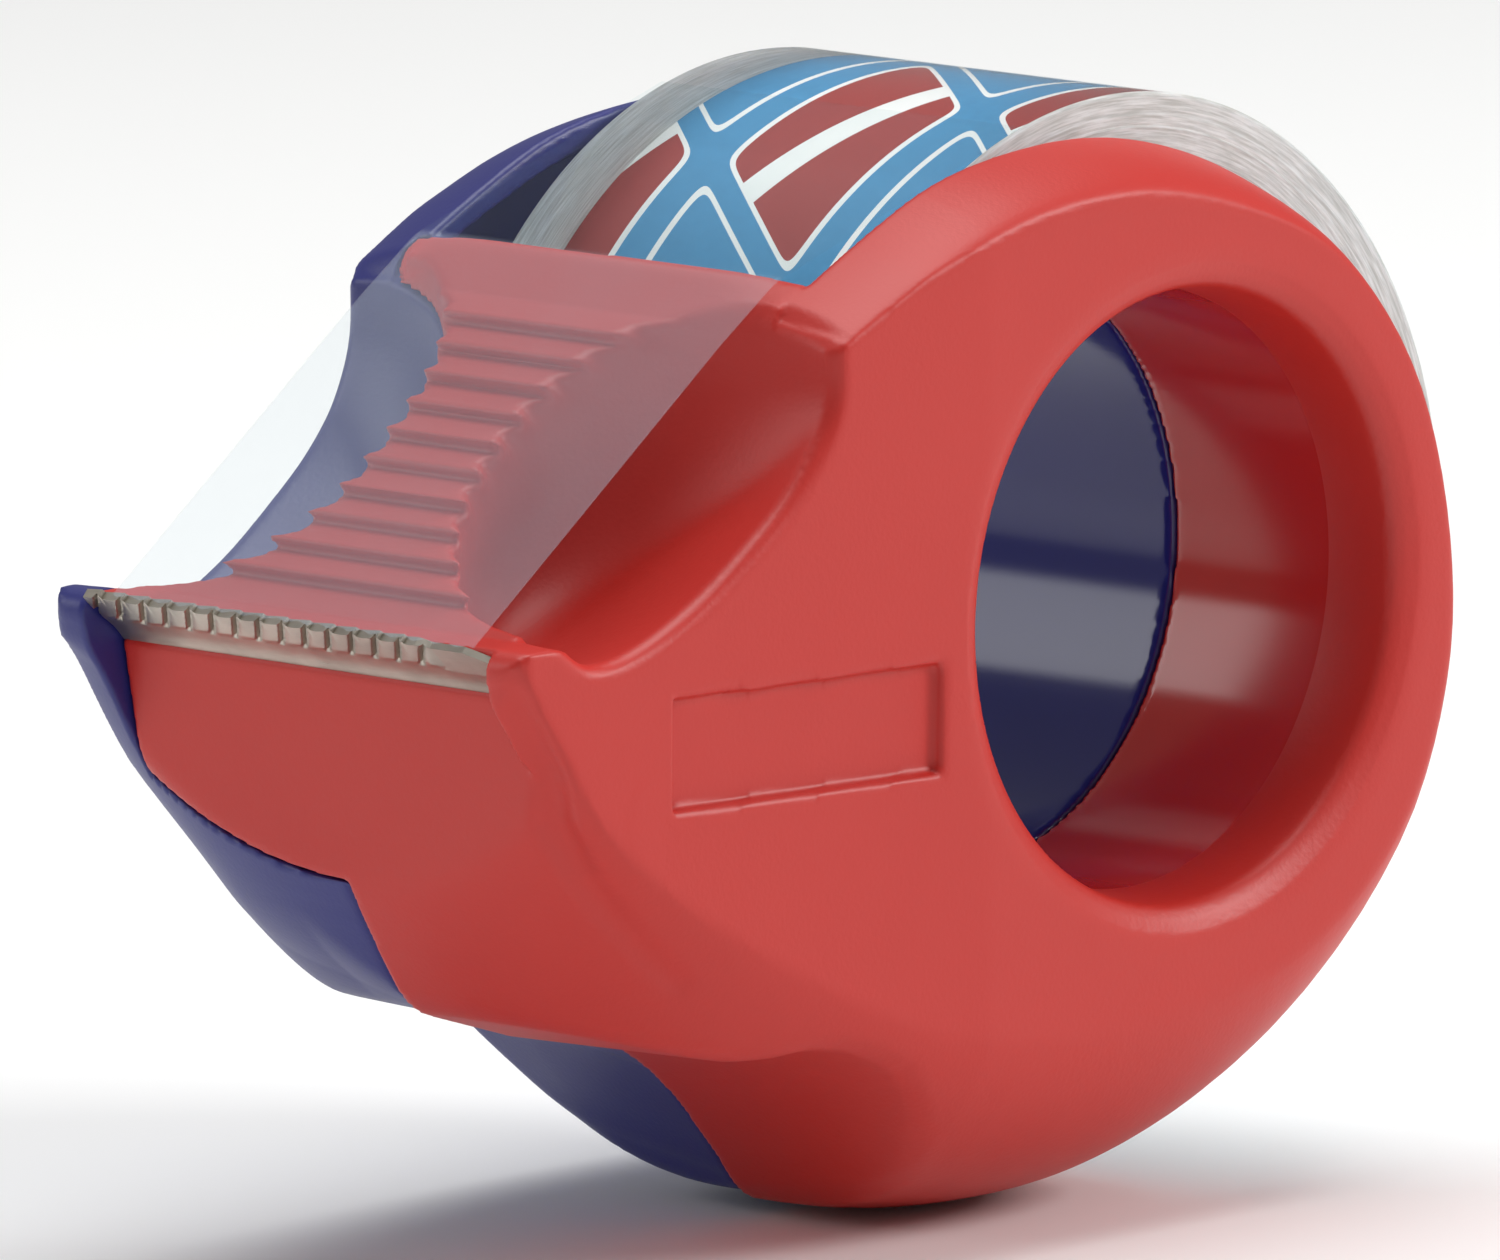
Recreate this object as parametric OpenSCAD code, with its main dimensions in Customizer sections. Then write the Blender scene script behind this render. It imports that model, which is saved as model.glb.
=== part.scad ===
// Hand tape dispenser: a red housing and a blue pull-off cover meet on a tubular hub that
// carries a roll of clear tape. The tape runs over a ribbed guide to a serrated steel blade.
// Origin: on the roll's axis, midway across the roll. +Y runs along that axis from the housing
// to the cover, -X points to the blade, +Z is up. The nose is held raised, as in the hand.

/* [Roll] */
// Diameter of a full roll of tape
roll_d = 38.8; // [34:0.2:39.6]
// Width of the tape and of its core
tape_w = 19; // [15:0.5:19.6]
// Inner diameter of the core
core_bore_d = 26; // [25:0.1:27]
// Wall of the core tube
core_wall = 1; // [0.6:0.1:1.6]
// Thickness of the printed sleeve round the core
label_t = 0.15; // [0.1:0.05:0.3]
// Thickness of the tape that lies over the guide
lead_t = 0.12; // [0.08:0.02:0.3]

/* [Shells] */
// Outside width over the two flat cheeks
body_w = 27.6; // [26:0.2:32]
// Diameter of the round part of the shells
disc_d = 40.8; // [39.6:0.2:44]
// Wall of both shells
wall = 1.6; // [1.2:0.1:2]
// Rounding of the round part's rim
rim_round = 3; // [1:0.1:3.4]
// How far the belly bulges at mid width
belly_crown = 1.5; // [0.4:0.1:2]
// Width between the two nose flanges
throat_w = 21.2; // [20:0.2:22.4]
// Free space round the roll
roll_gap = 0.8; // [0.4:0.1:1.2]
// Finger hole diameter
finger_d = 23.66; // [21:0.02:23.8]
// Width of the flared mouth at each end of the finger hole
mouth_flare = 0.8; // [0.4:0.1:1.2]
// Gap where the two shells meet
seam = 0.1; // [0.06:0.02:0.2]

/* [Guide and blade] */
// Narrowest half width of the ribbed guide
waist_half = 2.9; // [2.2:0.1:4]
// Radius of the finger scoop in plan
scoop_plan_r = 9.8; // [8:0.1:10.4]
// Radius of the finger scoop seen from the side
scoop_side_r = 13.1; // [12:0.1:14]
// Number of ribs across the guide
rib_count = 10; // [6:1:12]
// Height of each rib
rib_h = 0.45; // [0.2:0.05:0.6]
// Thickness of the blade strip
blade_t = 0.4; // [0.3:0.05:0.6]
// Number of blade teeth
tooth_count = 20; // [12:1:28]
// Depth of the blade teeth
tooth_depth = 0.7; // [0.4:0.05:1]

/* [Hub and pegs] */
// Radial clearance between the hub and the core
hub_clear = 0.08; // [0.05:0.01:0.1]
// Radial clearance where the cover's spigot enters the housing's hub
lap_clear = 0.05; // [0.03:0.01:0.1]
// Length over which the two hubs overlap
lap_len = 3.6; // [2:0.1:6]
// Diameter of the cover's locating pegs
peg_d = 2.8; // [2:0.1:3.4]
// Wall of the sockets that the pegs enter
socket_wall = 1; // [0.8:0.1:1.2]

/* [Hidden] */
$fn = 96;

half_w = body_w / 2;
throat = throat_w / 2;
roll_r = roll_d / 2;
core_r = core_bore_d / 2;
label_r = core_r + core_wall;
hub_r = core_r - hub_clear;
finger_r = finger_d / 2;
room_r = roll_r + roll_gap;           // chamber round the roll
room_half = tape_w / 2 + 0.4;         // half width of that chamber
parting = 0.2;                        // plane where the two shells meet
hub_seam = -2.08;                     // where the red bore gives way to the blue one
lap_r = (finger_r + hub_r) / 2;       // where the two hub tubes share their thickness
mouth_len = 3.8;                      // depth of the flare at each end of the bore
mouth_edge = 0.7;                     // rounding at the flare's edge
stop_gap = 0.15;                      // play between the core and its stop rings
far = 60;                             // more than the dispenser measures in any direction

// Round part of the shells
disc_c = [-3.5, -2.9];
disc_r = disc_d / 2;

// Blade: the front face runs from the teeth down to its lower edge
blade_tip = [-37.4, 1.85];
blade_low = [-35.1, -0.2];
blade_dir = unit(blade_low - blade_tip);
blade_in = left(blade_dir);
blade_tilt = atan2(-blade_dir[1], blade_dir[0]);
tooth_bare = 0.35;                    // how far the teeth stand past the guide
seat_gap = 0.05;                      // play round the blade in its seat

// Guide: top edge, the ribbed slope, the tip behind the blade, then the front plate
guide_top = [-19.3, 13.95];
rib_start = [-22.6, 11.55];
rib_end = [-33.1, 2.7];
guide_tip = blade_tip + blade_t * blade_in + tooth_bare * blade_dir;
seat_low = blade_low + blade_t * blade_in + seat_gap * blade_dir;
plate_top = blade_low + seat_gap * blade_dir;
plate_low = [-33.35, -9.1];
shoulder = [-14.7, 16.2];
guide_lip = 0.7;                      // land behind the guide's top edge
band_t = wall + 0.4;                  // depth of what the housing carries across to the cover
band_over = 3;                        // more than the ribs stand out from the guide
lip_end = guide_top + guide_lip * unit(shoulder - guide_top);
guide_line = [lip_end + guide_lip * unit(shoulder - guide_top), guide_top, rib_start, rib_end,
    guide_tip, seat_low, plate_low];

front_line = [-37.2, -0.3];           // top of the flanges' sloping front
// Side outline of the nose, counter-clockwise from where it leaves the round part
nose = [
    [-5.5, 17.2], [-10.6, 17.4], shoulder, guide_top, rib_start, rib_end,
    [-35.6, 1.95], [-36.8, 1.5], front_line, [-25, -13.9], [-23.6, -15.2], [-17.4, -17.7],
    [-8, -14]
];
// The hollow in front of the plate, open to the front
hollow_top = 6;
hollow_front = -45;
hollow_low = -12;
front_hollow = [
    guide_tip, [guide_tip[0], hollow_top], [hollow_front, hollow_top], [hollow_front, hollow_low],
    plate_low, plate_top, seat_low
];
// Side outline of the bow between the flanges, which stands proud of them low down
bow = [front_line, [-33.5, -8.55], [-30.4, -13.6], [-29.2, -14.6], [-17.4, -17.7], [-17.4, 0]];
bow_tilt = 48;                        // slope of the flanges' front
bow_r = 21.1;                         // crown across the bow
bow_proud = 3.4;                      // how far its middle stands in front of that line

// Below this line the cheeks round inwards like a hull, and along the top they round less
side_at = [-33.8, -5.15];
side_tilt = 28.7;
side_round = 7;
top_tilt = -21.6;
top_round = 3;

// In plan the cheeks draw in towards the blade
taper_from = -12;
taper_to = -37.2;
taper = 1.4;

// Finger scoops
scoop_c = [-33.4, 14.6];                // centre, side view
scoop_x = -28;                        // centre, plan view
waist_y = 0.8;                        // the waist sits a little to the cover's side

// The roll shows from behind the belly round to the guide
open_from = -75;
open_to = atan2(lip_end[1], lip_end[0]);

// Pegs, side view
peg_at = [[-29, -5.4], [-23.2, -10.6]];
peg_r = peg_d / 2;
peg_tip_y = -4;
peg_tip_gap = 1;                      // room past the peg's tip in its socket

function unit(v) = v / norm(v);
function left(v) = [-v[1], v[0]];
// Where a line through p along u meets a line through q along v
function meet(p, u, q, v) = p + u * ((q - p) * left(v)) / (u * left(v));
// A closed counter-clockwise outline moved inwards by d
function inset(p, d) = let (n = len(p)) [
    for (i = [0 : n - 1])
        let (a = p[(i + n - 1) % n], b = p[i], c = p[(i + 1) % n], u = unit(b - a), v = unit(c - b))
        meet(b + d * left(u), u, b + d * left(v), v)
];
// An open line moved to its left by d
function beside(p, d) = let (n = len(p)) [
    for (i = [0 : n - 1])
        let (
            u = unit(p[max(i, 1)] - p[max(i, 1) - 1]),
            v = unit(p[min(i + 1, n - 1)] - p[min(i, n - 2)])
        )
        abs(u * left(v)) < 0.001
            ? p[i] + d * left(u)
            : meet(p[i] + d * left(u), u, p[i] + d * left(v), v)
];
function reversed(p) = [for (i = [len(p) - 1 : -1 : 0]) p[i]];

// A prism along Y of an outline drawn in X and Z
module along_y(from, to) {
    translate([0, to, 0]) rotate([90, 0, 0]) linear_extrude(to - from) children();
}

// A cylinder along Y
module round_y(r, from, to, at = [0, 0]) {
    along_y(from, to) translate(at) circle(r);
}

// A prism along a direction in the X-Z plane that slopes down by tilt; its section is in Y and up
module along_slope(at, tilt) {
    translate([at[0], 0, at[1]]) rotate([0, tilt, 0]) rotate([90, 0, 90])
        translate([0, 0, -far]) linear_extrude(2 * far) children();
}

// The round part, g inside its outer surface: a crowned rim with rounded edges, in short steps
module disc_body(g) {
    edge = max(rim_round - g, 0.3);
    edge_y = half_w - g - edge;
    edge_r = disc_r - g - edge;
    steps = 4;
    corner = [for (i = [0 : steps]) let (a = 90 * i / steps)
        [edge_r + edge * sin(a), edge_y + edge * cos(a)]];
    rim = concat(corner, [[disc_r - g + belly_crown, edge_y / 3]]);
    translate([disc_c[0], 0, disc_c[1]]) rotate([90, 0, 0]) rotate_extrude() polygon(concat(
        [[0, half_w - g]], rim, reversed([for (p = rim) [p[0], -p[1]]]), [[0, g - half_w]]
    ));
}

// Section of the nose: straight sides up from y = 0, and below it corners of radius r
module keel_section(r, g) {
    translate([g - half_w, 0]) square([2 * (half_w - g), far]);
    translate([r - half_w, g - r]) square([2 * (half_w - r), 2 * r]);
    for (s = [-1, 1]) translate([s * (half_w - r), 0]) circle(r - g);
}

// The nose with its crowned bow, g inside its outer surface
module nose_body(g) {
    plan = [[far, half_w - g], [taper_from, half_w - g], [taper_to, half_w - g - taper],
        [-far, half_w - g - taper]];
    intersection() {
        union() {
            along_y(g - half_w, half_w - g) polygon(inset(nose, g));
            intersection() {
                along_y(g - half_w, half_w - g) polygon(inset(bow, g));
                along_slope(front_line, bow_tilt) translate([0, bow_r - bow_proud]) circle(bow_r - g);
            }
        }
        along_slope(side_at, side_tilt) keel_section(side_round, g);
        along_slope(shoulder, top_tilt) translate([0, -top_round]) mirror([0, 1])
            keel_section(top_round, g);
        translate([0, 0, -far]) linear_extrude(2 * far)
            polygon(concat(plan, reversed([for (p = plan) [p[0], -p[1]]])));
    }
}

// The two finger scoops, g outside their surface
module scoops(g) {
    for (s = [-1, 1]) intersection() {
        round_y(scoop_side_r + g, s < 0 ? -far : 0, s < 0 ? 0 : far, scoop_c);
        translate([scoop_x, waist_y + s * (waist_half + scoop_plan_r), -far])
            cylinder(r = scoop_plan_r + g, h = 2 * far);
    }
}

// The whole body before it is hollowed and split, g inside its outer surface
module body(g) {
    difference() {
        union() {
            disc_body(g);
            nose_body(g);
        }
        scoops(g);
        along_y(-throat - g, throat + g) polygon(inset(front_hollow, -g));
    }
}

// Both shells as one, hollow, with the chamber for the roll and its opening
module hollow_body() {
    difference() {
        union() {
            body(0);
            guide_ribs();
        }
        body(wall);
        round_y(room_r, -room_half, room_half);
        along_y(-room_half, room_half) difference() {
            polygon(concat([[0, 0]], [
                for (i = [0 : 6]) let (a = open_from + i * (open_to - open_from) / 6)
                    far * [cos(a), sin(a)]
            ]));
            circle(room_r - roll_gap);
        }
    }
}

// Saw-tooth ribs across the guide, each with its step facing the blade
module guide_ribs() {
    pitch = (rib_end - rib_start) / rib_count;
    down = left(unit(pitch));
    teeth = [for (i = [0 : rib_count - 1], tip = [0, 1])
        rib_start + (i + tip) * pitch - tip * rib_h * down];
    difference() {
        along_y(-throat, throat)
            polygon(concat(teeth, [rib_end + rib_h * down, rib_start + rib_h * down]));
        scoops(0);
    }
}

// Half space of one shell
module side_of(from, to) {
    along_y(from, to) square(2 * far, center = true);
}

// The guide and the front plate, which the housing carries across to the cover's flange
module guide_band(depth) {
    polygon(concat(beside(guide_line, -band_over), reversed(beside(guide_line, depth))));
}

// What is cut for the finger: a bore with a flared mouth at each end
module finger_bore() {
    flare = [for (i = [0 : 8]) let (a = i * 11.25)
        [finger_r + mouth_flare * (1 - cos(a)),
            half_w - mouth_len + (mouth_len - mouth_edge) * sin(a)]];
    edge = [for (i = [1 : 4]) let (a = i * 22.5)
        [finger_r + mouth_flare + mouth_edge * (1 - cos(a)),
            half_w - mouth_edge + mouth_edge * sin(a)]];
    half = concat(flare, edge, [[finger_r + mouth_flare + mouth_edge, half_w + 1]]);
    rotate([90, 0, 0]) rotate_extrude() polygon(concat(
        [[0, half_w + 1]], reversed(half), [for (p = half) [p[0], -p[1]]], [[0, -half_w - 1]]
    ));
}

// Hub of one shell and the ring that the core's end runs against; side is -1 or 1
module hub(side, tip) {
    stop = tape_w / 2 + stop_gap;
    outer = side * (half_w - mouth_edge);
    round_y(hub_r, min(outer, tip), max(outer, tip));
    round_y(label_r, min(side * stop, outer), max(side * stop, outer));
}

module red_shell() {
    color([0.78, 0.2, 0.17]) difference() {
        union() {
            intersection() {
                hollow_body();
                union() {
                    side_of(-far, parting);
                    along_y(parting - 1, throat - seam) guide_band(band_t);
                }
            }
            hub(-1, hub_seam + lap_len);
            for (p = peg_at) round_y(peg_r + lap_clear + socket_wall, wall - half_w, parting, p);
        }
        finger_bore();
        round_y(lap_r + lap_clear, hub_seam, far);
        for (p = peg_at) round_y(peg_r + lap_clear, peg_tip_y - peg_tip_gap, far, p);
    }
}

module blue_shell() {
    color([0.2, 0.18, 0.42]) difference() {
        union() {
            difference() {
                intersection() {
                    hollow_body();
                    side_of(parting + seam, far);
                }
                along_y(-far, throat) offset(delta = seam) guide_band(band_t);
            }
            difference() {
                hub(1, hub_seam + seam);
                difference() {
                    round_y(far, -far, hub_seam + lap_len + seam);
                    round_y(lap_r, -far, far);
                }
            }
            for (p = peg_at) {
                round_y(peg_r, peg_tip_y, half_w - wall, p);
                round_y(peg_r + socket_wall, parting + seam, half_w - wall, p);
            }
        }
        finger_bore();
    }
}

module cutter_blade() {
    length = norm(blade_tip - blade_low);
    width = throat_w - 4 * seat_gap;
    pitch = width / tooth_count;
    color([0.72, 0.68, 0.6])
    translate([blade_low[0], 0, blade_low[1]]) rotate([0, blade_tilt, 0]) rotate([0, 0, 90])
        linear_extrude(blade_t - seat_gap) translate([-width / 2, 0]) polygon(concat(
            [[0, 0], [0, length - tooth_depth]],
            [for (i = [0 : tooth_count - 1], k = [0, 1])
                [(i + 0.5 + 0.5 * k) * pitch, length - k * tooth_depth]],
            [[width, 0]]
        ));
}

module core() {
    color([0.85, 0.84, 0.8]) difference() {
        round_y(label_r, -tape_w / 2, tape_w / 2);
        round_y(core_r, -far, far);
    }
}

module core_label() {
    color([0.35, 0.6, 0.75]) difference() {
        round_y(label_r + label_t, -tape_w / 2, tape_w / 2);
        round_y(label_r, -far, far);
    }
}

module tape_winding() {
    color([0.88, 0.9, 0.9, 0.4]) difference() {
        round_y(roll_r, -tape_w / 2, tape_w / 2);
        round_y(label_r + label_t, -far, far);
    }
}

// The free end of the tape, from the roll over the guide's top edge to the teeth
module tape_lead() {
    lift = 0.2;                       // clear of the roll, the guide and the teeth
    over = guide_top + [-lift, lift];
    tip = blade_tip + [-lift, lift];
    reach = roll_r + lift / 2;
    leave = atan2(over[1], over[0]) - acos(reach / norm(over));
    run = [reach * [cos(leave), sin(leave)], over, tip];
    color([0.9, 0.93, 0.95, 0.5]) along_y(-tape_w / 2, tape_w / 2)
        polygon(concat(run, reversed(beside(run, -lead_t))));
}

red_shell();
blue_shell();
cutter_blade();
core();
core_label();
tape_winding();
tape_lead();
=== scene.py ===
"""A hand tape dispenser: red housing, blue pull-off cover, serrated blade and a roll of clear tape."""

import math

import bpy
import numpy as np
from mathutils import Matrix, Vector


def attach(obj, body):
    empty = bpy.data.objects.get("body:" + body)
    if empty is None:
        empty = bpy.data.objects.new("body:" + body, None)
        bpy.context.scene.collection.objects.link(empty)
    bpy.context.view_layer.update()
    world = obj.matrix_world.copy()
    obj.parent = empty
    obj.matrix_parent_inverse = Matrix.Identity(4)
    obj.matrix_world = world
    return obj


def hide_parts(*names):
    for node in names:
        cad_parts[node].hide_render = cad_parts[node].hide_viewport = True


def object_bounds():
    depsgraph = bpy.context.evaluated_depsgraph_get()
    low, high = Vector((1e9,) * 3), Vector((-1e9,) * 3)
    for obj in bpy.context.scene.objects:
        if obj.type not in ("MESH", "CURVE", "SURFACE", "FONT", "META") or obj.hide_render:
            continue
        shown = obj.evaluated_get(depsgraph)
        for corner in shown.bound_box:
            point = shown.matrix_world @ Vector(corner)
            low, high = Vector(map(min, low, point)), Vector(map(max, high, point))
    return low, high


MM = 0.001

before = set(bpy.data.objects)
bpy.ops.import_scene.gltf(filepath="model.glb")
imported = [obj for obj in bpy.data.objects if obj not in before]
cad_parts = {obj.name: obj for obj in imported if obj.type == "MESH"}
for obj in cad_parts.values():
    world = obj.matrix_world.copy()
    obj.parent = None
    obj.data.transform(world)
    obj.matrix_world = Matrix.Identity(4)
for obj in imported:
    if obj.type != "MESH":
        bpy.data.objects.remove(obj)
cad_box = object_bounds()


# --- Camera, floor and light -------------------------------------------------------------
# The dispenser is seen from the blade's side, a little from above, through a long lens. It
# rests on a white sweep under a dim tent, with a softbox over it, one to the right and one behind.

AIM = Vector((-10.7275, 0, -1.5017)) * MM
CAMERA_TURN = math.radians(-47.3616)
CAMERA_RISE = math.radians(9.0779)
CAMERA_DISTANCE = 1.0
FLOOR_GAP = 0.05 * MM


def linear(colour):
    """A hex sRGB colour as linear red, green, blue and alpha."""
    parts = [int(colour[i:i + 2], 16) / 255 for i in (1, 3, 5)]
    return [p / 12.92 if p <= 0.04045 else ((p + 0.055) / 1.055) ** 2.4 for p in parts] + [1.0]


def node(tree, kind, links=None, **settings):
    """Adds a node, with its settings and with a value or a link for each named or numbered input."""
    made = tree.nodes.new(kind)
    for name, value in settings.items():
        setattr(made, name, value)
    for name, value in (links or {}).items():
        if isinstance(value, bpy.types.NodeSocket):
            tree.links.new(value, made.inputs[name])
        else:
            made.inputs[name].default_value = value
    return made


def material(name):
    """An empty node material and its tree."""
    made = bpy.data.materials.new(name)
    made.use_nodes = True
    made.node_tree.nodes.clear()
    return made, made.node_tree


def add(name, data):
    made = bpy.data.objects.new(name, data)
    bpy.context.scene.collection.objects.link(made)
    return made


back = Vector((
    math.sin(CAMERA_TURN) * math.cos(CAMERA_RISE),
    -math.cos(CAMERA_TURN) * math.cos(CAMERA_RISE),
    math.sin(CAMERA_RISE),
))
lens = bpy.data.cameras.new("camera")
lens.sensor_width = 36
lens.lens = 615.27
lens.clip_start = 0.05
lens.clip_end = 30
camera = add("camera", lens)
camera.location = AIM + CAMERA_DISTANCE * back
camera.rotation_euler = (math.pi / 2 - CAMERA_RISE, 0, CAMERA_TURN)
bpy.context.scene.camera = camera
bpy.context.scene.view_settings.view_transform = "Standard"

# Painted studio floor: white and quite matt, with a faint mottle from the roller
paint, tree = material("white_floor_paint")
mottle = node(tree, "ShaderNodeTexNoise", {"Scale": 30.0, "Detail": 3.0})
shade = node(tree, "ShaderNodeMix", {"Factor": mottle.outputs["Fac"], "A": linear("#F4F4F3"),
                                     "B": linear("#FBFBFA")}, data_type="RGBA")
matt = node(tree, "ShaderNodeBsdfPrincipled", {"Base Color": shade.outputs["Result"],
                                               "Roughness": 0.8, "Specular IOR Level": 0.2})
node(tree, "ShaderNodeOutputMaterial", {"Surface": matt.outputs["BSDF"]})
floor_mesh = bpy.data.meshes.new("floor")
reach = 6.0
level = cad_box[0].z - FLOOR_GAP
floor_mesh.from_pydata([(-reach, -reach, level), (reach, -reach, level), (reach, reach, level),
                        (-reach, reach, level)], [], [(0, 1, 2, 3)])
floor_mesh.materials.append(paint)
floor = add("floor", floor_mesh)

world = bpy.data.worlds.new("tent")
bpy.context.scene.world = world
world.use_nodes = True
tree = world.node_tree
tree.nodes.clear()
tent = node(tree, "ShaderNodeBackground", {"Color": linear("#FFFFFF"), "Strength": 0.26})
sweep = node(tree, "ShaderNodeBackground", {"Color": linear("#FFFFFF"), "Strength": 1.0})
seen = node(tree, "ShaderNodeLightPath").outputs["Is Camera Ray"]
mixed = node(tree, "ShaderNodeMixShader", {0: seen, 1: tent.outputs[0], 2: sweep.outputs[0]})
node(tree, "ShaderNodeOutputWorld", {"Surface": mixed.outputs[0]})


def softbox(name, place, size, power):
    """A square area light that faces the dispenser."""
    data = bpy.data.lights.new(name, "AREA")
    data.size = size
    data.energy = power
    made = add(name, data)
    made.location = place
    made.rotation_euler = (Vector(place) - AIM).to_track_quat("Z", "Y").to_euler()


softbox("softbox_above", (0.05, 0.05, 0.6), 0.45, 2.9)
softbox("softbox_right", (0.5, -0.55, 0.4), 0.3, 3.9)
softbox("softbox_behind", (-0.5, 0.65, 0.33), 0.4, 1.4)


# --- Form of the two shells --------------------------------------------------------------
# Housing and cover are two moulded ABS shells that share one outer form: round cheeks about
# the finger hole, and a hull-like nose with a scoop for a fingertip on either side. The form
# is a field of distances in millimetres, negative inside, and is skinned at zero.

ROLL_R = 19.4
HALF_W = 13.8
WALL = 1.6
DISC_C = (-3.5, -2.9)
DISC_R = 21.9                         # at mid width
ROOM_R = 20.2
ROOM_HALF = 9.9
THROAT = 10.6
PARTING = 0.2
SEAM = 0.1
BORE_R = 11.83
HUB_R = 12.92
STOP_R = 14.0
HUB_SEAM = -2.08
LAP = 3.6
BLADE_TIP = np.array([-37.4, 1.85])
BLADE_LOW = np.array([-35.1, -0.2])
BLADE_T = 0.4
FLANGE_X = -37.15                     # front of the two flanges
GUIDE_TOP = np.array([-19.3, 13.95])
RIB_START = np.array([-21.4, 12.45])
RIB_END = np.array([-33.1, 2.7])
RIBS = 10
RIB_H = 0.55
PEGS = ((-29, -5.4), (-23.2, -10.6))
PEG_R = 1.4
FAR = 60.0


def steps(*spans):
    """Grid coordinates: each span is (from, to, spacing)."""
    parts = [np.arange(round((b - a) / h)) * h + a for a, b, h in spans]
    return np.concatenate(parts + [[spans[-1][1]]]).astype(np.float32)


grid = (
    steps((-38.75, -19, 0.17), (-19, 19.5, 0.25)),
    steps((-14.4, -11, 0.225), (-11, -9.2, 0.12), (-9.2, 9.2, 0.25), (9.2, 11, 0.12),
          (11, 14.4, 0.225)),
    steps((-26, 0.5, 0.25), (0.5, 15, 0.15), (15, 20, 0.25)),
)
x = grid[0][:, None, None]
y = grid[1][None, :, None]
z = grid[2][None, None, :]
wide = np.abs(y)


def through(points, count=5):
    """A closed smooth curve through the points."""
    p = np.array(points, float)
    a, b, c, d = np.roll(p, 1, 0), p, np.roll(p, -1, 0), np.roll(p, -2, 0)
    out = []
    for i in range(count):
        t = i / count
        out.append(0.5 * (2 * b + (c - a) * t + (2 * a - 5 * b + 4 * c - d) * t ** 2
                          + (3 * b - a - 3 * c + d) * t ** 3))
    return np.stack(out, 1).reshape(-1, 2)


def outline(points):
    """Distance in side view to a closed outline, negative inside it."""
    distance = np.full(np.broadcast_shapes(x.shape, z.shape), FAR ** 2, np.float32)
    inside = np.zeros(distance.shape, bool)
    for (ax, az), (bx, bz) in zip(points, np.roll(points, -1, 0)):
        ex, ez = bx - ax, bz - az
        if ex == 0 and ez == 0:
            continue
        along = np.clip(((x - ax) * ex + (z - az) * ez) / (ex * ex + ez * ez), 0, 1)
        distance = np.minimum(distance, (x - ax - along * ex) ** 2 + (z - az - along * ez) ** 2)
        if bz != az:
            inside ^= ((az > z) != (bz > z)) & (x < ex * (z - az) / ez + ax)
    distance = np.sqrt(distance)
    return np.where(inside, -distance, distance)


def both(a, b, r=0.0):
    """What lies in a and in b, with its edges rounded to r."""
    corner = np.sqrt(np.maximum(a + r, 0) ** 2 + np.maximum(b + r, 0) ** 2)
    return np.minimum(np.maximum(a, b), -r) + corner


def either(a, b, r=0.0):
    return -both(-a, -b, r)


def without(a, b, r=0.0):
    return both(a, -b, r)


def between(low, high):
    """A slab across the width."""
    return np.maximum(low - y, y - high)


def rod(r, low, high, at=(0, 0)):
    """A cylinder along the width."""
    return both(np.hypot(x - at[0], z - at[1]) - r, between(low, high))


def arc(centre, r, start, stop, count):
    angles = np.radians(np.linspace(start, stop, count))
    return [(centre[0] + r * math.cos(a), centre[1] + r * math.sin(a)) for a in angles]


# The flat of each cheek, and the widest outline, at mid width. Between the two the sides
# round in, over 2 mm behind the roll and over 8 mm under the belly.
flat = through([
    (14.9, 0.6), (13.2, 6.7), (9.8, 11.3), (5.6, 14), (-1.6, 16), (-8, 16), (-14, 14.6),
    (-19, 12.4), (-37.1, 3.4), (-36.9, 0.6), (-35.7, -0.9), (-32.5, -5.4), (-28.9, -8.3),
    (-24.7, -10.8), (-20.5, -12.9), (-14.9, -15.2), (-9.7, -16), (-2.7, -16.3), (6.1, -14.7),
    (12, -10.6), (14.7, -5),
])
widest = through(arc(DISC_C, DISC_R, -95, 95, 14) + [
    (-11.5, 17.9), (-16.5, 15.6), (-20.5, 13.6), (-38.5, 4.4), (-38.2, 0), (-36.6, -2.4),
    (-33.5, -8.55), (-30.4, -13.6), (-26.5, -18.6), (-19, -22.4), (-11, -24),
])
past_flat = np.maximum(outline(flat), 0)
to_edge = -outline(widest)
share = np.where(to_edge > 0, past_flat / (past_flat + np.maximum(to_edge, 1e-3)),
                 1 - to_edge / 3)
cheek_y = HALF_W - 1.4 * np.clip((-12 - x) / 25, 0, 1.1)
bulge = 1.13 + 0.32 * np.clip((x + 23) / 13, 0, 1)
hull = share ** bulge + (wide / cheek_y) ** 2.6 - 1
slope = np.sqrt(sum(np.gradient(hull, axis, axis=i) ** 2 for i, axis in enumerate(grid)))
hull = (hull / np.maximum(slope, 0.04)).astype(np.float32)
del slope

# The guide: a smooth strip, ten saw-tooth ribs with their steps towards the blade, and a
# second strip that dips before the blade. What lies above that line is cut away.
blade_dir = (BLADE_LOW - BLADE_TIP) / np.linalg.norm(BLADE_LOW - BLADE_TIP)
blade_in = np.array([-blade_dir[1], blade_dir[0]])
pitch = (RIB_END - RIB_START) / RIBS
rise = np.array([pitch[1], -pitch[0]]) / np.linalg.norm(pitch) * RIB_H
teeth = [RIB_START + (i + tip) * pitch + tip * rise for i in range(RIBS) for tip in (0, 1)]
guide_tip = BLADE_TIP + BLADE_T * blade_in + 0.35 * blade_dir
seat = BLADE_LOW + BLADE_T * blade_in
above_guide = outline(np.array([GUIDE_TOP] + teeth + [
    RIB_END, (-34.9, 1.95), guide_tip, (-39, 1.95), (-FAR, 2), (-FAR, 30), (-18.7, 30),
    GUIDE_TOP + (0.6, 0.3)]))
body = both(without(hull, above_guide, 0.15), FLANGE_X - x, 0.8)

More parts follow.
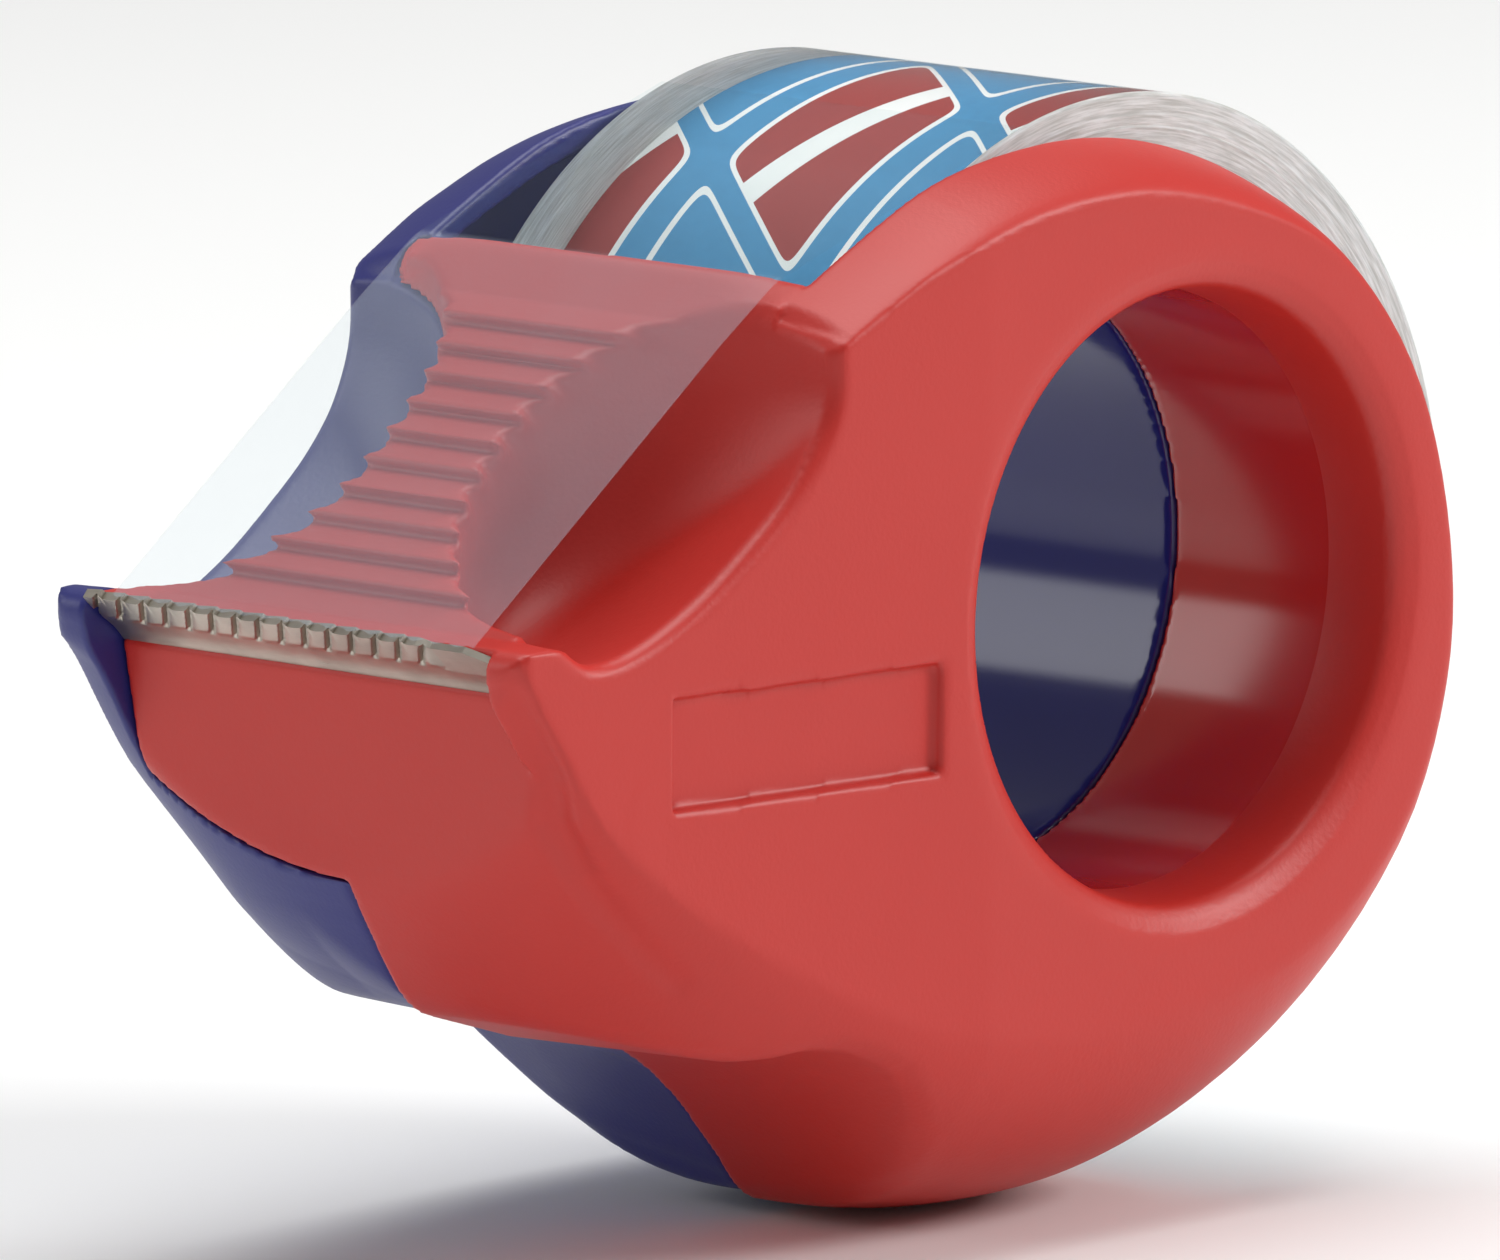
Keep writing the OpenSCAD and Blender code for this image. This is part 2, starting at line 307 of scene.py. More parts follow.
# Finger scoops: deep dishes whose inner walls draw the guide in to a waist
waist_y = 0.8 * np.exp(-((x + 27) / 6) ** 2)
waist = 2.85 + 0.0243 * np.maximum(-26.9 - x, 0) ** 2.7 + 0.0643 * np.maximum(x + 26.9, 0) ** 2.3
lean = np.hypot(1, np.gradient(waist, grid[0], axis=0))
dish = outline(through([
    (-19.4, 14.2), (-20.1, 12.3), (-20.2, 10), (-21.2, 8.2), (-22.8, 6.35), (-24.9, 4.7),
    (-27.5, 3), (-30.2, 1.75), (-32.5, 1.25), (-34.7, 1.7), (-38.5, 2.2), (-48, 3), (-48, 30),
    (-19.4, 30),
]))
dish = dish - 0.25 * np.maximum(12.8 - wide, 0) - 0.9 * (y > 0)
rib_phase = ((x - RIB_START[0]) * pitch[0] + (z - RIB_START[1]) * pitch[1]) / (pitch @ pitch)
rib_depth = ((x - RIB_START[0]) * rise[0] + (z - RIB_START[1]) * rise[1]) / RIB_H
scallop = 0.2 * np.cos(2 * math.pi * rib_phase) * ((rib_phase > 0) & (rib_phase < RIBS))
scallop = scallop * np.exp(-np.maximum(0.2 - rib_depth, 0) ** 2 / 0.5)
wall_side = (waist + scallop - np.abs(y - waist_y)) / lean
scoop = both(dish, wall_side, 3.4)
body = without(body, scoop, np.where(wide < 10, 0.22, 0.8))

# The throat in front of the plate, between the two flanges
plate_x = BLADE_LOW[0] + 0.196 * (BLADE_LOW[1] - np.array([0, -25]))
throat = outline(np.array([guide_tip, (guide_tip[0], 8), (-FAR, 8), (-FAR, -25),
                           (plate_x[1], -25), BLADE_LOW, seat]))
body = without(body, both(throat, wide - THROAT), 0.2)


# Under the nose the foot is flat, and behind it an arch leads into the round belly
arch_line = through([
    (-45, -10.5), (-24.5, -15.8), (-19.9, -16.5), (-17.4, -17.6), (-15.3, -19.2), (-13.2, -21.4),
    (-11.8, -23.1), (-10.3, -25.4), (-7, -34)])[:-5]
arch = z - np.interp(x, arch_line[:, 0], arch_line[:, 1]).astype(np.float32)
arch = (arch - (0.03 + 0.11 * np.clip((x + 23) / 7, 0, 1)) * wide) / (1.1 + 0.4 * (x > -16))
housing_form = without(body, arch, 0.6)
foot_round = 0.6 + 2 * np.clip((-23 - x) / 6, 0, 1) * np.clip(y / 4, 0, 1)
cover_form = without(body, arch - 0.04 * y, foot_round)
cover_form = cover_form + 0.3 * np.clip(1 - y / 8, 0, 1) * np.clip((-z - 6) / 4, 0, 1)
# A channel down the front of the housing's flange, which fades out under the nose
channel = np.float32(FAR)
path = np.array([(-37.8, 12.4, 0.5), (-36.75, 12, -1.15), (-35.25, 11.7, -3.25),
                 (-34.07, 11.1, -5.55), (-32.4, 11.15, -8), (-30, 11.5, -10.55),
                 (-27.4, 11.8, -12.7)])
for a, run in zip(path[:-1], np.diff(path, axis=0)):
    part_way = (x - a[0]) * run[0] + (-y - a[1]) * run[1] + (z - a[2]) * run[2]
    part_way = np.clip(part_way / (run @ run), 0, 1)
    away = ((x - a[0] - part_way * run[0]) ** 2 + (-y - a[1] - part_way * run[1]) ** 2
            + (z - a[2] - part_way * run[2]) ** 2)
    channel = np.minimum(channel, away)
housing_form = without(housing_form, np.sqrt(channel) - 1.05, 0.3)
del body, hull, part_way, away, channel

# What both shells have cut out of them: the roll's chamber with its opening, the finger
# hole with a flared mouth at each end
chamber = rod(ROOM_R, -ROOM_HALF, ROOM_HALF)
lip_angle = math.degrees(math.atan2(GUIDE_TOP[1] + 0.25, GUIDE_TOP[0] + 0.65))
opening = outline(np.array([(0, 0)] + arc((0, 0), FAR, -75, lip_angle, 8)))
opening = both(both(opening, wide - ROOM_HALF), ROLL_R - np.hypot(x, z))
chamber = either(chamber, opening)
mouth = np.clip((wide - 10) / 3.8, 0, 1)
flare = 0.8 * (1 - np.sqrt(1 - 0.96 * mouth ** 2)) + 0.9 * np.clip((wide - 13) / 0.8, 0, 1.4) ** 2
bore = np.hypot(x, z) - BORE_R - flare


def hub(side, tip):
    """Tube round the finger hole and the ring that the core's end runs against."""
    ends = sorted((side * (HALF_W - 0.4), tip))
    ring = sorted((side * 9.65, side * (HALF_W - 0.4)))
    return either(rod(HUB_R, *ends), rod(STOP_R, *ring), 0.2)


def skin(field):
    """Vertices in metres and quads of the surface where the field is zero."""
    shape = np.array(field.shape) - 1
    cells = int(shape.prod())
    total = np.zeros((3, cells))
    count = np.zeros(cells)
    faces = []
    for a in range(3):
        b, c = (a + 1) % 3, (a + 2) % 3
        low = [slice(None)] * 3
        high = [slice(None)] * 3
        low[a], high[a] = slice(None, -1), slice(1, None)
        start = np.argwhere((field[tuple(low)] < 0) != (field[tuple(high)] < 0))
        stop = start.copy()
        stop[:, a] += 1
        v0, v1 = field[tuple(start.T)], field[tuple(stop.T)]
        point = [grid[k][start[:, k]].astype(float) for k in range(3)]
        point[a] += v0 / (v0 - v1) * (grid[a][stop[:, a]] - grid[a][start[:, a]])
        ring = []
        for db, dc in ((0, 0), (-1, 0), (-1, -1), (0, -1)):
            cell = start.copy()
            cell[:, b] += db
            cell[:, c] += dc
            index = np.ravel_multi_index(cell.T, shape)
            count += np.bincount(index, minlength=cells)
            for k in range(3):
                total[k] += np.bincount(index, point[k], cells)
            ring.append(index)
        ring = np.stack(ring, 1)
        faces.append(np.where((v0 < 0)[:, None], ring, ring[:, ::-1]))
    used = np.flatnonzero(count)
    number = np.zeros(cells, np.int64)
    number[used] = np.arange(len(used))
    return (total[:, used] / count[used]).T * MM, number[np.concatenate(faces)]


def shell_object(name, field):
    """A shell's mesh with smooth shading."""
    points, faces = skin(field)
    data = bpy.data.meshes.new(name)
    data.vertices.add(len(points))
    data.vertices.foreach_set("co", points.astype(np.float32).ravel())
    data.loops.add(faces.size)
    data.loops.foreach_set("vertex_index", faces.astype(np.int32).ravel())
    data.polygons.add(len(faces))
    data.polygons.foreach_set("loop_start", np.arange(0, faces.size, 4, dtype=np.int32))
    data.update(calc_edges=True)
    data.validate()
    data.shade_smooth()
    return add(name, data)


def moulded(name, deep, worn, rough, polished):
    """ABS: fine eroded grain outside, a polished finger hole, and colour that varies a little."""
    made, tree = material(name)
    place = node(tree, "ShaderNodeTexCoord").outputs["Object"]
    grain = node(tree, "ShaderNodeTexNoise", {"Vector": place, "Scale": 1 / (0.22 * MM),
                                              "Detail": 2.0})
    cloud = node(tree, "ShaderNodeTexNoise", {"Vector": place, "Scale": 1 / (9 * MM),
                                              "Detail": 3.0})
    flat_y = node(tree, "ShaderNodeVectorMath", {0: place, 1: (1, 0, 1)}, operation="MULTIPLY")
    radius = node(tree, "ShaderNodeVectorMath", {0: flat_y.outputs[0]}, operation="LENGTH")
    parts = node(tree, "ShaderNodeSeparateXYZ", {0: place})
    off = node(tree, "ShaderNodeMath", {0: parts.outputs["Y"]}, operation="ABSOLUTE")
    in_hole = node(tree, "ShaderNodeMath", {0: radius.outputs["Value"], 1: (BORE_R + 0.1) * MM},
                   operation="LESS_THAN")
    in_depth = node(tree, "ShaderNodeMath", {0: off.outputs[0], 1: 10.2 * MM},
                    operation="LESS_THAN")
    gloss = node(tree, "ShaderNodeMath", {0: in_hole.outputs[0], 1: in_depth.outputs[0]},
                 operation="MULTIPLY")
    colour = node(tree, "ShaderNodeMix", {"Factor": cloud.outputs["Fac"], "A": linear(deep),
                                          "B": linear(worn)}, data_type="RGBA")
    roughness = node(tree, "ShaderNodeMix", {"Factor": gloss.outputs[0], "A": rough,
                                             "B": polished})
    depth = node(tree, "ShaderNodeMix", {"Factor": gloss.outputs[0], "A": 0.35, "B": 0.02})
    bump = node(tree, "ShaderNodeBump", {"Strength": depth.outputs[0], "Distance": 0.03 * MM,
                                         "Height": grain.outputs["Fac"]})
    shader = node(tree, "ShaderNodeBsdfPrincipled", {
        "Base Color": colour.outputs["Result"], "Roughness": roughness.outputs[0], "IOR": 1.53,
        "Normal": bump.outputs["Normal"]})
    node(tree, "ShaderNodeOutputMaterial", {"Surface": shader.outputs["BSDF"]})
    return made


# --- Red housing -------------------------------------------------------------------------
# The housing takes the near half of the form, and carries the guide and the front plate
# across to the cover's flange. It is injection-moulded ABS with two sockets for the pegs.


def beside(line, d):
    """An open line moved to its left by d."""
    p = np.array(line, float)
    run = np.diff(p, axis=0)
    side = np.stack([-run[:, 1], run[:, 0]], 1) / np.linalg.norm(run, axis=1)[:, None]
    first = np.vstack([side[:1], side])
    last = np.vstack([side, side[-1:]])
    mean = first + last
    return p + d * 2 * mean / (mean ** 2).sum(1)[:, None]


guide_line = [GUIDE_TOP + (0.7, 0.3), GUIDE_TOP, RIB_START, RIB_END, guide_tip]
lip_depth = np.array([[0.9], [0.9], [1.3], [2], [2]])
band = outline(np.array(list(beside(guide_line, -3)) + [(-41, -1), (-41, -14), (-34, -14)]
                        + list(beside([(-35.1, 0.3), (-33.35, -9.1)], 2))[::-1]
                        + list(beside(guide_line, lip_depth))[::-1][1:]))


def hollow(form):
    return without(without(form, form + WALL), chamber, 0.3)


plate_arc = -8.6 + y * y / 35
band = both(band, np.where(x < -31, plate_arc - z, -FAR))
housing = both(hollow(housing_form),
               either(y - PARTING, both(band, between(PARTING - 1, THROAT - SEAM))), 0.12)
housing = either(housing, both(hub(-1, HUB_SEAM + LAP), housing_form))
for peg in PEGS:
    housing = either(housing, both(rod(PEG_R + 1, -HALF_W + 1, PARTING, peg), housing_form))
    housing = without(housing, rod(PEG_R + 0.05, -5, FAR, peg))
housing = without(housing, bore)
housing = without(housing, rod((BORE_R + HUB_R) / 2 + 0.05, HUB_SEAM, FAR))
# A sunk panel on the cheek, left plain
panel = np.maximum(np.abs(x + 21.7 - 0.02 * z) - 7.2, np.abs(z + 2.95 + 0.012 * (x + 21.7)) - 2.15)
panel = both(panel, y + cheek_y - 0.5)
housing = without(housing, panel, 0.06)
red_shell = shell_object("red_housing", housing)
red_shell.data.materials.append(moulded("red_moulded_abs", "#BE241B", "#C42B22", 0.46, 0.13))
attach(red_shell, "housing")
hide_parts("red_shell")
del housing


# --- Blue cover --------------------------------------------------------------------------
# The cover is the other half, moulded in blue ABS. Its hub enters the housing's hub by a
# half lap, and two pegs enter the housing's sockets, so that it pulls off sideways.

wide_band = band - SEAM
cover = without(both(hollow(cover_form), PARTING + SEAM - y, 0.12),
                both(wide_band, y - THROAT))
lap = without(hub(1, HUB_SEAM + SEAM),
              without(rod(FAR, -FAR, HUB_SEAM + LAP + SEAM), rod((BORE_R + HUB_R) / 2, -FAR, FAR)))
cover = either(cover, both(lap, cover_form))
for peg in PEGS:
    cover = either(cover, rod(PEG_R, -4, HALF_W - 1, peg))
    cover = either(cover, both(rod(PEG_R + 1, PARTING + SEAM, HALF_W - 1, peg), cover_form))
cover = without(cover, bore)
blue_shell = shell_object("blue_cover", cover)
blue_shell.data.materials.append(moulded("blue_moulded_abs", "#24266E", "#2A2E7C", 0.42, 0.13))
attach(blue_shell, "cover")
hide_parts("blue_shell")
del cover


# --- Blade -------------------------------------------------------------------------------
# A strip of stamped stainless steel, slid into its seat over the plate. Its upper edge is cut
# into teeth, each pressed into a small step, and its lower half is left plain.

TEETH = 17
STEEL_T = 0.3
TOOTH_LEAN = 0.69                     # sideways for each millimetre up the strip
PLAIN_END = 0.16                      # share of the width left without teeth
PLAIN_LOW = 0.45                      # share of the height below the teeth
TOOTH_CUT = 0.16
END_CUT = 0.3
PAD_H = 0.1
GROOVE_D = 0.2
GROOVE_AT = 0.16
BOW = 0.05                            # how far the plain part is hollowed
steel_w = 2 * THROAT - 0.3
steel_h = float(np.linalg.norm(BLADE_TIP - BLADE_LOW))
across, up = 401, 49
u = np.linspace(0, 1, across)[:, None]
v = np.linspace(0, 1, up)[None, :]
tooth = (u + TOOTH_LEAN * v * steel_h / steel_w) * TEETH % 1
near_end = np.clip((PLAIN_END - u) / 0.03, 0, 1)
top_cut = TOOTH_CUT * tooth[:, -1:] * (1 - near_end) + END_CUT * near_end
top_cut = top_cut + 10 * np.clip(0.05 - u, 0, 1)
height = v * (steel_h - top_cut)
press = np.clip((v - PLAIN_LOW) / 0.12, 0, 1) * (1 - near_end)
groove = np.clip(1.6 - np.abs(tooth - GROOVE_AT) / 0.06, 0, 1)
relief = press * (PAD_H * np.sin(math.pi * tooth) ** 0.5 - GROOVE_D * groove)
relief = relief - BOW * np.sin(math.pi * np.clip(v / PLAIN_LOW, 0, 1))
front = STEEL_T + relief
side_pos = (u - 0.5) * steel_w + 0 * v
blade_up = -blade_dir


def blade_points(depth):
    """Points of one face of the strip, depth being how far it stands off its back."""
    at = BLADE_LOW + BLADE_T * blade_in
    px = at[0] + height * blade_up[0] - depth * blade_in[0]
    pz = at[1] + height * blade_up[1] - depth * blade_in[1]
    return np.stack([px, side_pos, pz], 2).reshape(-1, 3)


def sheet_faces(rows, columns):
    """Quads of a grid of rows by columns, and of the same grid behind it, with the rim closed."""
    index = np.arange(rows * columns).reshape(rows, columns)
    face = [index[:-1, :-1], index[1:, :-1], index[1:, 1:], index[:-1, 1:]]
    top = np.stack(face, 2).reshape(-1, 4)
    rim = np.concatenate([index[0, :], index[1:, -1], index[-1, -2::-1], index[-2:0:-1, 0]])
    after = np.roll(rim, -1)
    n = rows * columns
    sides = np.stack([after, rim, rim + n, after + n], 1)
    return np.concatenate([top, top[:, ::-1] + n, sides])


def grid_object(name, front_points, back_points, rows, columns, angle=30):
    data = bpy.data.meshes.new(name)
    points = np.concatenate([front_points, back_points]) * MM
    data.from_pydata(points.tolist(), [], sheet_faces(rows, columns).tolist())
    data.update()
    data.shade_smooth()
    data.set_sharp_from_angle(angle=math.radians(angle))
    return add(name, data)


blade = grid_object("steel_blade", blade_points(front), blade_points(0 * front), across, up)

# Stamped stainless steel: fine rolled grain along the strip, stained a warm grey in patches
steel, tree = material("stamped_stainless_steel")
place = node(tree, "ShaderNodeTexCoord").outputs["Object"]
stretch = node(tree, "ShaderNodeMapping", {"Vector": place, "Scale": (1.0, 0.05, 1.0)})
rolled = node(tree, "ShaderNodeTexNoise", {"Vector": stretch.outputs[0], "Scale": 1 / (0.06 * MM),
                                           "Detail": 3.0})
stain = node(tree, "ShaderNodeTexNoise", {"Vector": place, "Scale": 1 / (2.5 * MM), "Detail": 3.0})
tone = node(tree, "ShaderNodeMix", {"Factor": stain.outputs["Fac"], "A": linear("#9C9488"),
                                    "B": linear("#E0D8CA")}, data_type="RGBA")
rough = node(tree, "ShaderNodeMapRange", {"Value": rolled.outputs["Fac"], "To Min": 0.22,
                                          "To Max": 0.45})
bump = node(tree, "ShaderNodeBump", {"Strength": 0.2, "Distance": 0.01 * MM,
                                     "Height": rolled.outputs["Fac"]})
shader = node(tree, "ShaderNodeBsdfPrincipled", {
    "Base Color": tone.outputs["Result"], "Metallic": 1.0, "Roughness": rough.outputs[0],
    "Normal": bump.outputs["Normal"]})
node(tree, "ShaderNodeOutputMaterial", {"Surface": shader.outputs["BSDF"]})
blade.data.materials.append(steel)
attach(blade, "housing")
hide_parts("cutter_blade")


# --- Core and printed sleeve ---------------------------------------------------------------
# The roll is wound on a moulded polystyrene tube with a paper sleeve glued round it. The
# sleeve is printed light blue with slanting red and white blocks, and shows through the film.

CORE_R = 13.0
SLEEVE_R = 14.15
TAPE_HALF = 9.5


def ring(name, profile, count=288):
    """A closed ring about the roll's axis from an (r, y) outline in millimetres."""
    p = np.array(profile, float)
    angles = np.arange(count) * 2 * math.pi / count
    points = np.stack([np.outer(np.cos(angles), p[:, 0]), np.tile(p[:, 1], (count, 1)),
                       np.outer(np.sin(angles), p[:, 0])], 2).reshape(-1, 3) * MM
    n = len(p)
    index = np.arange(count * n).reshape(count, n)
    faces = np.stack([index, np.roll(index, -1, 1), np.roll(np.roll(index, -1, 1), -1, 0),
                      np.roll(index, -1, 0)], 2).reshape(-1, 4)
    data = bpy.data.meshes.new(name)
    data.from_pydata(points.tolist(), [], faces.tolist())
    data.update()
    data.shade_smooth()
    data.set_sharp_from_angle(angle=math.radians(40))
    return add(name, data)


def tube_outline(inner, outer, half, edge):
    """Outline of a tube's wall with its four edges broken."""
    return [(inner + edge, -half), (inner, edge - half), (inner, half - edge), (inner + edge, half),
            (outer - edge, half), (outer, half - edge), (outer, edge - half), (outer - edge, -half)]


core = ring("core_tube", tube_outline(CORE_R, SLEEVE_R - 0.2, TAPE_HALF, 0.15))
# Moulded polystyrene, off-white and slightly glossy
tube, tree = material("moulded_polystyrene")
place = node(tree, "ShaderNodeTexCoord").outputs["Object"]
cloud = node(tree, "ShaderNodeTexNoise", {"Vector": place, "Scale": 1 / (4 * MM), "Detail": 2.0})
tone = node(tree, "ShaderNodeMix", {"Factor": cloud.outputs["Fac"], "A": linear("#DAD8CF"),
                                    "B": linear("#E6E4DC")}, data_type="RGBA")
shader = node(tree, "ShaderNodeBsdfPrincipled", {"Base Color": tone.outputs["Result"],
                                                 "Roughness": 0.4, "IOR": 1.59})
node(tree, "ShaderNodeOutputMaterial", {"Surface": shader.outputs["BSDF"]})
core.data.materials.append(tube)
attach(core, "roll")
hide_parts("core")

sleeve = ring("printed_sleeve", tube_outline(SLEEVE_R - 0.19, SLEEVE_R + 0.04, TAPE_HALF - 0.02, 0.02))
# Printed paper: flat inks with crisp edges, and a slight fibre mottle
paper, tree = material("printed_paper")
place = node(tree, "ShaderNodeTexCoord").outputs["Object"]
part = node(tree, "ShaderNodeSeparateXYZ", {0: place})
turn = node(tree, "ShaderNodeMath", {0: part.outputs["Z"], 1: part.outputs["X"]}, operation="ARCTAN2")
BLOCKS = 8                            # round the sleeve
BLOCK_W = 9.2 * MM                    # across it
ROW_START = 0.35
ROW_SHIFT = 0.55                      # of a block, from one row to the next
CORNER = 14.0                         # the higher, the sharper a block's corners
STRIPE_SLANT = 0.3
STRIPE_HALF = 0.07

row_units = node(tree, "ShaderNodeMath", {0: part.outputs["Y"], 1: BLOCK_W}, operation="DIVIDE")
row = node(tree, "ShaderNodeMath", {0: row_units.outputs[0], 1: ROW_START}, operation="ADD")
row_number = node(tree, "ShaderNodeMath", {0: row.outputs[0]}, operation="FLOOR")
row_share = node(tree, "ShaderNodeMath", {0: row.outputs[0]}, operation="FRACT")
row_place = node(tree, "ShaderNodeMath", {0: row_share.outputs[0], 1: 0.5}, operation="SUBTRACT")
turned = node(tree, "ShaderNodeMath", {0: turn.outputs[0], 1: BLOCKS / (2 * math.pi)},
              operation="MULTIPLY")
shifted = node(tree, "ShaderNodeMath", {0: row.outputs[0], 1: ROW_SHIFT}, operation="MULTIPLY")
along = node(tree, "ShaderNodeMath", {0: turned.outputs[0], 1: shifted.outputs[0]},
             operation="ADD")
block_number = node(tree, "ShaderNodeMath", {0: along.outputs[0]}, operation="FLOOR")
block_share = node(tree, "ShaderNodeMath", {0: along.outputs[0]}, operation="FRACT")
block_place = node(tree, "ShaderNodeMath", {0: block_share.outputs[0], 1: 0.5},
                   operation="SUBTRACT")


def block(half_along, half_row):
    """1 in a rounded block about the middle of each cell."""
    powers = []
    for where, half in ((block_place, half_along), (row_place, half_row)):
        share = node(tree, "ShaderNodeMath", {0: where.outputs[0], 1: half}, operation="DIVIDE")
        size = node(tree, "ShaderNodeMath", {0: share.outputs[0]}, operation="ABSOLUTE")
        power = node(tree, "ShaderNodeMath", {0: size.outputs[0], 1: CORNER}, operation="POWER")
        powers.append(power.outputs[0])
    total = node(tree, "ShaderNodeMath", {0: powers[0], 1: powers[1]}, operation="ADD")
    return node(tree, "ShaderNodeMath", {0: total.outputs[0], 1: 1.0}, operation="LESS_THAN")


fibre = node(tree, "ShaderNodeTexNoise", {"Vector": place, "Scale": 1 / (0.5 * MM), "Detail": 3.0})
blue_ink = node(tree, "ShaderNodeMix", {"Factor": fibre.outputs["Fac"], "A": linear("#2A7BA9"),
                                        "B": linear("#3486B4")}, data_type="RGBA")
# Red blocks and blue ones take turns, and a white stripe runs down each red one
both_numbers = node(tree, "ShaderNodeMath", {0: block_number.outputs[0],
                                             1: row_number.outputs[0]}, operation="ADD")
halved = node(tree, "ShaderNodeMath", {0: both_numbers.outputs[0], 1: 0.5}, operation="MULTIPLY")
odd = node(tree, "ShaderNodeMath", {0: halved.outputs[0]}, operation="FRACT")
red_cell = node(tree, "ShaderNodeMath", {0: odd.outputs[0], 1: 0.25}, operation="LESS_THAN")
blue_cell = node(tree, "ShaderNodeMath", {0: 1.0, 1: red_cell.outputs[0]}, operation="SUBTRACT")
inner = block(0.43, 0.375)
blue_block = node(tree, "ShaderNodeMath", {0: inner.outputs[0], 1: blue_cell.outputs[0]},
                  operation="MULTIPLY")
white_part = node(tree, "ShaderNodeMath", {0: block(0.45, 0.41).outputs[0],
                                           1: blue_block.outputs[0]}, operation="SUBTRACT")
slant = node(tree, "ShaderNodeMath", {0: block_place.outputs[0], 1: STRIPE_SLANT},
             operation="MULTIPLY")
beside_slant = node(tree, "ShaderNodeMath", {0: row_place.outputs[0], 1: slant.outputs[0]},
                    operation="SUBTRACT")
from_slant = node(tree, "ShaderNodeMath", {0: beside_slant.outputs[0]}, operation="ABSOLUTE")
stripe = node(tree, "ShaderNodeMath", {0: from_slant.outputs[0], 1: STRIPE_HALF},
              operation="LESS_THAN")
red_block = node(tree, "ShaderNodeMath", {0: inner.outputs[0], 1: red_cell.outputs[0]},
                 operation="MULTIPLY")
unstriped = node(tree, "ShaderNodeMath", {0: 1.0, 1: stripe.outputs[0]}, operation="SUBTRACT")
red_part = node(tree, "ShaderNodeMath", {0: red_block.outputs[0], 1: unstriped.outputs[0]},
                operation="MULTIPLY")
tone = node(tree, "ShaderNodeMix", {"Factor": white_part.outputs[0], "A": blue_ink.outputs["Result"],
                                    "B": linear("#E4E4E2")}, data_type="RGBA")
tone = node(tree, "ShaderNodeMix", {"Factor": red_part.outputs[0], "A": tone.outputs["Result"],
                                    "B": linear("#931D16")}, data_type="RGBA")
shader = node(tree, "ShaderNodeBsdfPrincipled", {"Base Color": tone.outputs["Result"],
                                                 "Roughness": 0.55, "IOR": 1.5})
node(tree, "ShaderNodeOutputMaterial", {"Surface": shader.outputs["BSDF"]})
sleeve.data.materials.append(paper)
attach(sleeve, "roll")
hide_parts("core_label")


# --- Wound tape ----------------------------------------------------------------------------
# Clear polypropylene film wound round the sleeve. Through its face the many turns look like
# one clear solid, and the slit edges at both ends look frosted, with fine rings.

rings = 60
radii = np.linspace(SLEEVE_R - 0.02, ROLL_R - 0.08, rings)
ring_noise = np.random.default_rng(7).normal(0, 0.018, rings)
ends = TAPE_HALF - 0.03 + np.clip(ring_noise, -0.03, 0.03)
near_side = list(zip(radii, -ends))
far_side = list(zip(radii[::-1], ends[::-1]))
winding = ring("wound_tape", near_side + [(ROLL_R, -TAPE_HALF + 0.1), (ROLL_R, TAPE_HALF - 0.1)]
               + far_side, 360)
# Clear film: colourless and glossy, bending what is seen through it
film, tree = material("clear_wound_film")
glass = node(tree, "ShaderNodeBsdfPrincipled", {
    "Base Color": linear("#F6F9F9"), "Roughness": 0.03, "IOR": 1.49, "Transmission Weight": 1.0})
open_way = node(tree, "ShaderNodeBsdfTransparent", {"Color": linear("#F4F7F7")})
shadow = node(tree, "ShaderNodeLightPath").outputs["Is Shadow Ray"]
clear = node(tree, "ShaderNodeMixShader", {0: shadow, 1: glass.outputs[0], 2: open_way.outputs[0]})
node(tree, "ShaderNodeOutputMaterial", {"Surface": clear.outputs[0]})
# Slit film edges: milky, with concentric streaks as fine as a few turns of film
frost, tree = material("slit_film_edges")
place = node(tree, "ShaderNodeTexCoord").outputs["Object"]
flat_y = node(tree, "ShaderNodeVectorMath", {0: place, 1: (1, 0, 1)}, operation="MULTIPLY")
radius = node(tree, "ShaderNodeVectorMath", {0: flat_y.outputs[0]}, operation="LENGTH")
slow = node(tree, "ShaderNodeVectorMath", {0: flat_y.outputs[0], "Scale": 0.06}, operation="SCALE")
part = node(tree, "ShaderNodeSeparateXYZ", {0: slow.outputs[0]})
where = node(tree, "ShaderNodeCombineXYZ", {"X": part.outputs["X"], "Y": radius.outputs["Value"],
                                            "Z": part.outputs["Z"]})
streak = node(tree, "ShaderNodeTexNoise", {"Vector": where.outputs[0], "Scale": 1 / (0.12 * MM),
                                           "Detail": 3.0, "Roughness": 0.6})
tone = node(tree, "ShaderNodeMapRange", {"Value": streak.outputs["Fac"], "From Min": 0.35,
                                         "From Max": 0.65})
colour = node(tree, "ShaderNodeMix", {"Factor": tone.outputs[0], "A": linear("#CFCFC8"),
                                      "B": linear("#FAFAF6")}, data_type="RGBA")
bump = node(tree, "ShaderNodeBump", {"Strength": 0.5, "Distance": 0.03 * MM,
                                     "Height": streak.outputs["Fac"]})
front_side = node(tree, "ShaderNodeBsdfPrincipled", {
    "Base Color": colour.outputs["Result"], "Roughness": 0.6, "IOR": 1.49,
    "Normal": bump.outputs["Normal"]})
glow = node(tree, "ShaderNodeBsdfTranslucent", {"Color": colour.outputs["Result"]})
shader = node(tree, "ShaderNodeMixShader", {0: 0.4, 1: front_side.outputs[0],
                                            2: glow.outputs[0]})
node(tree, "ShaderNodeOutputMaterial", {"Surface": shader.outputs[0]})
winding.data.materials.append(film)
winding.data.materials.append(frost)
centres = np.array([p.center for p in winding.data.polygons])
winding.data.polygons.foreach_set("material_index",
                                  (np.abs(centres[:, 1]) > (TAPE_HALF - 0.12) * MM).astype(np.int32))
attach(winding, "roll")
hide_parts("tape_winding")


